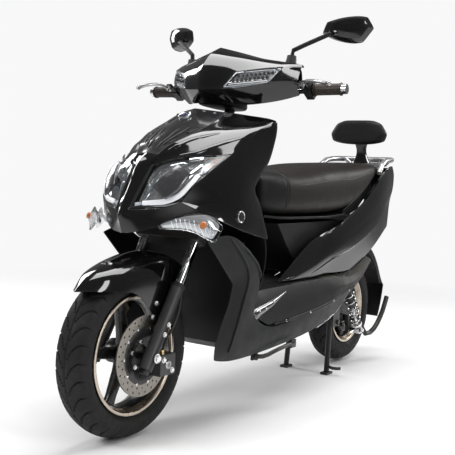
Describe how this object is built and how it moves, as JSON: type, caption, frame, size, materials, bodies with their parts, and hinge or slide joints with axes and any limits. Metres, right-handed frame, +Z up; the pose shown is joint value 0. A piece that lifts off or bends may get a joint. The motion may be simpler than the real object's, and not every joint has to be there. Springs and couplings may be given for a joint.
{
  "type": "moped scooter",
  "caption": "Step-through scooter with faired front, disc-braked front wheel, two-tier seat over a storage tub, rear backrest, luggage rail, and centre and side stands.",
  "frame": {"origin": "on the ground, midway along and across the overall size, standing on the centre stand with the steering straight", "axes": "-Y is the front, +X is the rider's left, +Z is up"},
  "size_m": [0.7744, 1.821, 1.232],
  "materials": {
    "gloss_black": "gloss",
    "matte_grey": "matte",
    "satin_black": "satin",
    "frame_black": "satin",
    "battery_case": "satin",
    "vinyl_black": "satin",
    "vinyl_brown": "satin",
    "seat_board": "matte",
    "fork_chrome": "polished",
    "fork_alloy": "satin",
    "shock_rod": "polished",
    "silver": "satin",
    "rim_black": "satin",
    "disc_steel": "satin",
    "tyre": "matte",
    "grip_brown": "matte",
    "lens_clear": "gloss",
    "lens_red": "gloss",
    "button_red": "satin"
  },
  "bodies": {
    "chassis": {"main_frame": "frame_black", "front_cowl": "gloss_black", "nose_panel": "gloss_black", "headlight_left": "lens_clear", "headlight_right": "lens_clear", "turn_signal_left": "lens_clear", "turn_signal_right": "lens_clear", "leg_shield": "satin_black", "side_skirt_left": "matte_grey", "side_skirt_right": "matte_grey", "floorboard": "satin_black", "side_panel_left": "gloss_black", "side_panel_right": "gloss_black", "storage_tub": "satin_black", "rear_fender": "satin_black", "tail_light": "lens_red", "belly_pan": "matte_grey", "battery_pack": "battery_case", "grab_rail": "silver", "backrest_post": "gloss_black", "backrest_pad": "vinyl_black"},
    "seat": {"seat_base": "seat_board", "seat_front_cushion": "vinyl_black", "seat_rear_cushion": "vinyl_brown"},
    "steering": {"fork_yoke": "fork_chrome", "steering_shroud": "satin_black", "handlebar": "fork_chrome", "grip_left": "grip_brown", "switch_pod_left": "satin_black", "switch_pod_right": "satin_black", "bar_cover_front": "gloss_black", "bar_cover_rear": "satin_black", "day_lamp_left": "lens_clear", "day_lamp_right": "lens_clear", "mirror_stalk_left": "satin_black", "mirror_stalk_right": "satin_black"},
    "fork_lower": {"fork_sliders": "fork_alloy", "front_fender": "gloss_black", "brake_caliper": "fork_alloy"},
    "front_wheel": {"front_tyre": "tyre", "front_rim": "rim_black", "brake_disc": "disc_steel"},
    "swingarm": {"swingarm": "frame_black"},
    "rear_wheel": {"rear_tyre": "tyre", "rear_rim": "rim_black"},
    "shock_upper_left": {"shock_upper_left": "fork_alloy", "shock_spring_left": "fork_chrome"},
    "shock_upper_right": {"shock_upper_right": "fork_alloy", "shock_spring_right": "fork_chrome"},
    "shock_lower_left": {"shock_lower_left": "shock_rod"},
    "shock_lower_right": {"shock_lower_right": "shock_rod"},
    "centre_stand": {"centre_stand": "frame_black"},
    "side_stand": {"side_stand": "frame_black"},
    "throttle_grip": {"throttle_grip": "grip_brown"},
    "start_button": {"start_button": "button_red"},
    "brake_lever_left": {"brake_lever_left": "silver"},
    "brake_lever_right": {"brake_lever_right": "silver"},
    "mirror_head_left": {"mirror_head_left": "satin_black"},
    "mirror_head_right": {"mirror_head_right": "satin_black"},
    "ignition_key": {"ignition_key": "fork_chrome"}
  },
  "joints": [
    {"name": "steering", "type": "hinge", "parent": "chassis", "child": "steering", "pos_m": [0, -0.638, 0.235], "axis": [0, 0.5299, 0.848], "range_deg": [-40, 40]},
    {"name": "fork_travel", "type": "slide", "parent": "steering", "child": "fork_lower", "axis": [0, 0.5299, 0.848], "range_m": [0, 0.05], "stiffness_N_per_m": 9000, "springref_m": -0.06},
    {"name": "front_wheel_spin", "type": "hinge", "parent": "fork_lower", "child": "front_wheel", "pos_m": [0, -0.679, 0.233], "axis": [1, 0, 0], "continuous": true},
    {"name": "swingarm_pivot", "type": "hinge", "parent": "chassis", "child": "swingarm", "pos_m": [0, 0.372, 0.262], "axis": [1, 0, 0], "range_deg": [0, 10], "stiffness_Nm_per_rad": 2000, "springref_deg": -1.15},
    {"name": "rear_wheel_spin", "type": "hinge", "parent": "swingarm", "child": "rear_wheel", "pos_m": [0, 0.637, 0.211], "axis": [1, 0, 0], "continuous": true},
    {"name": "shock_left_eye", "type": "hinge", "parent": "chassis", "child": "shock_upper_left", "pos_m": [0.104, 0.442, 0.384], "axis": [1, 0, 0], "range_deg": [0, 8]},
    {"name": "shock_left_stroke", "type": "slide", "parent": "shock_upper_left", "child": "shock_lower_left", "axis": [0, -0.5484, 0.8362], "range_m": [0, 0.023], "deforming": ["shock_spring_left"]},
    {"name": "shock_right_eye", "type": "hinge", "parent": "chassis", "child": "shock_upper_right", "pos_m": [-0.104, 0.442, 0.384], "axis": [1, 0, 0], "range_deg": [0, 8]},
    {"name": "shock_right_stroke", "type": "slide", "parent": "shock_upper_right", "child": "shock_lower_right", "axis": [0, -0.5484, 0.8362], "range_m": [0, 0.023], "deforming": ["shock_spring_right"]},
    {"name": "centre_stand_fold", "type": "hinge", "parent": "chassis", "child": "centre_stand", "pos_m": [0, 0.4, 0.196], "axis": [1, 0, 0], "range_deg": [0, 60]},
    {"name": "side_stand_fold", "type": "hinge", "parent": "chassis", "child": "side_stand", "pos_m": [0.15, -0.245, 0.176], "axis": [-1, 0, 0], "range_deg": [0, 75], "stiffness_Nm_per_rad": 0.6, "springref_deg": -45.84},
    {"name": "throttle_twist", "type": "hinge", "parent": "steering", "child": "throttle_grip", "pos_m": [-0.226, -0.14623, 0.99369], "axis": [-0.9969, 0.0763, 0.0176], "range_deg": [0, 70], "stiffness_Nm_per_rad": 0.15, "springref_deg": -22.92},
    {"name": "brake_lever_left_pull", "type": "hinge", "parent": "steering", "child": "brake_lever_left", "pos_m": [0.248, -0.19945, 1.001], "axis": [0, 0.5299, 0.848], "range_deg": [0, 14], "stiffness_Nm_per_rad": 0.5, "springref_deg": -11.46},
    {"name": "brake_lever_right_pull", "type": "hinge", "parent": "steering", "child": "brake_lever_right", "pos_m": [-0.248, -0.19945, 1.001], "axis": [0, -0.5299, -0.848], "range_deg": [0, 14], "stiffness_Nm_per_rad": 0.5, "springref_deg": -11.46},
    {"name": "start_button_press", "type": "slide", "parent": "steering", "child": "start_button", "axis": [0, -0.848, 0.5299], "range_m": [0, 0.0025], "stiffness_N_per_m": 200, "springref_m": -0.004},
    {"name": "mirror_left_turn", "type": "hinge", "parent": "steering", "child": "mirror_head_left", "pos_m": [0.289, -0.094, 1.17], "axis": [0, 0, 1], "range_deg": [-15, 15]},
    {"name": "mirror_right_turn", "type": "hinge", "parent": "steering", "child": "mirror_head_right", "pos_m": [-0.289, -0.094, 1.17], "axis": [0, 0, 1], "range_deg": [-15, 15]},
    {"name": "seat_hinge", "type": "hinge", "parent": "chassis", "child": "seat", "pos_m": [0, -0.13, 0.59], "axis": [1, 0, 0], "range_deg": [0, 42]},
    {"name": "ignition_turn", "type": "hinge", "parent": "chassis", "child": "ignition_key", "pos_m": [0.062, -0.2002, 0.8215], "axis": [0, -0.9475, 0.3198], "range_deg": [0, 90]}
  ],
  "couplings": [
    {"joint": "shock_left_eye", "follows": "swingarm_pivot", "ratio": 0.7955},
    {"joint": "shock_left_stroke", "follows": "swingarm_pivot", "m_per_rad": 0.1279},
    {"joint": "shock_right_eye", "follows": "swingarm_pivot", "ratio": 0.7955},
    {"joint": "shock_right_stroke", "follows": "swingarm_pivot", "m_per_rad": 0.1279}
  ]
}
